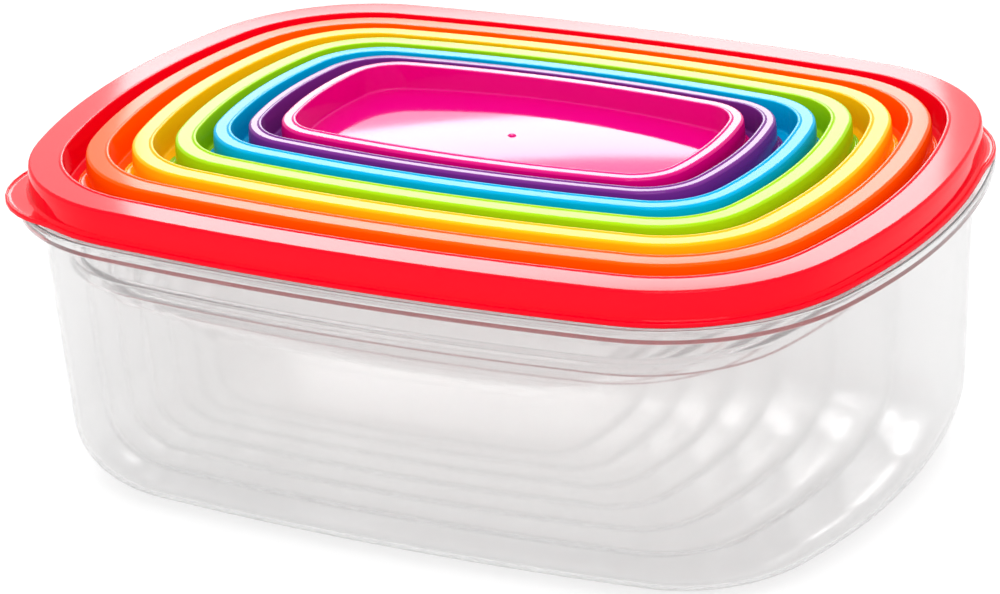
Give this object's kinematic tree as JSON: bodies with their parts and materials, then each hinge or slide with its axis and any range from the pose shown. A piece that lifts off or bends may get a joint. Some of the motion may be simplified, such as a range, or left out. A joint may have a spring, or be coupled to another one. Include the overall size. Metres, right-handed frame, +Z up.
{
  "type": "nesting food container set",
  "caption": "Clear rounded food storage boxes kept one inside another, with coloured snap lids that nest in one another's recesses and lift off by corner tabs.",
  "frame": {"origin": "centre of the overall box at the underside of the largest container", "axes": "+X along the length, +Y across the width, +Z up out of the containers"},
  "size_m": [0.288, 0.2072, 0.1085],
  "materials": {
    "clear_plastic": "slightly frosted translucent polypropylene",
    "red_plastic": "glossy moulded polyethylene",
    "orange_plastic": "glossy moulded polyethylene",
    "yellow_plastic": "glossy moulded polyethylene",
    "green_plastic": "glossy moulded polyethylene",
    "blue_plastic": "glossy moulded polyethylene",
    "purple_plastic": "glossy moulded polyethylene",
    "magenta_plastic": "glossy moulded polyethylene"
  },
  "bodies": {
    "container_1": {"container_1": "clear_plastic"},
    "container_2": {"container_2": "clear_plastic"},
    "container_3": {"container_3": "clear_plastic"},
    "container_4": {"container_4": "clear_plastic"},
    "container_5": {"container_5": "clear_plastic"},
    "container_6": {"container_6": "clear_plastic"},
    "container_7": {"container_7": "clear_plastic"},
    "lid_1_red": {"lid_1_red": "red_plastic"},
    "lid_2_orange": {"lid_2_orange": "orange_plastic"},
    "lid_3_yellow": {"lid_3_yellow": "yellow_plastic"},
    "lid_4_green": {"lid_4_green": "green_plastic"},
    "lid_5_blue": {"lid_5_blue": "blue_plastic"},
    "lid_6_purple": {"lid_6_purple": "purple_plastic"},
    "lid_7_magenta": {"lid_7_magenta": "magenta_plastic"}
  },
  "joints": [
    {"name": "lift_container_2", "type": "slide", "parent": "container_1", "child": "container_2", "axis": [0, 0, 1], "range_m": [0, 0.105]},
    {"name": "lift_container_3", "type": "slide", "parent": "container_2", "child": "container_3", "axis": [0, 0, 1], "range_m": [0, 0.083]},
    {"name": "lift_container_4", "type": "slide", "parent": "container_3", "child": "container_4", "axis": [0, 0, 1], "range_m": [0, 0.072]},
    {"name": "lift_container_5", "type": "slide", "parent": "container_4", "child": "container_5", "axis": [0, 0, 1], "range_m": [0, 0.065]},
    {"name": "lift_container_6", "type": "slide", "parent": "container_5", "child": "container_6", "axis": [0, 0, 1], "range_m": [0, 0.056]},
    {"name": "lift_container_7", "type": "slide", "parent": "container_6", "child": "container_7", "axis": [0, 0, 1], "range_m": [0, 0.048]},
    {"name": "lift_lid_1_red", "type": "slide", "parent": "container_7", "child": "lid_1_red", "axis": [0, 0, 1], "range_m": [0, 0.06]},
    {"name": "lift_lid_2_orange", "type": "slide", "parent": "lid_1_red", "child": "lid_2_orange", "axis": [0, 0, 1], "range_m": [0, 0.028]},
    {"name": "lift_lid_3_yellow", "type": "slide", "parent": "lid_2_orange", "child": "lid_3_yellow", "axis": [0, 0, 1], "range_m": [0, 0.028]},
    {"name": "lift_lid_4_green", "type": "slide", "parent": "lid_3_yellow", "child": "lid_4_green", "axis": [0, 0, 1], "range_m": [0, 0.028]},
    {"name": "lift_lid_5_blue", "type": "slide", "parent": "lid_4_green", "child": "lid_5_blue", "axis": [0, 0, 1], "range_m": [0, 0.028]},
    {"name": "lift_lid_6_purple", "type": "slide", "parent": "lid_5_blue", "child": "lid_6_purple", "axis": [0, 0, 1], "range_m": [0, 0.028]},
    {"name": "lift_lid_7_magenta", "type": "slide", "parent": "lid_6_purple", "child": "lid_7_magenta", "axis": [0, 0, 1], "range_m": [0, 0.028]}
  ]
}
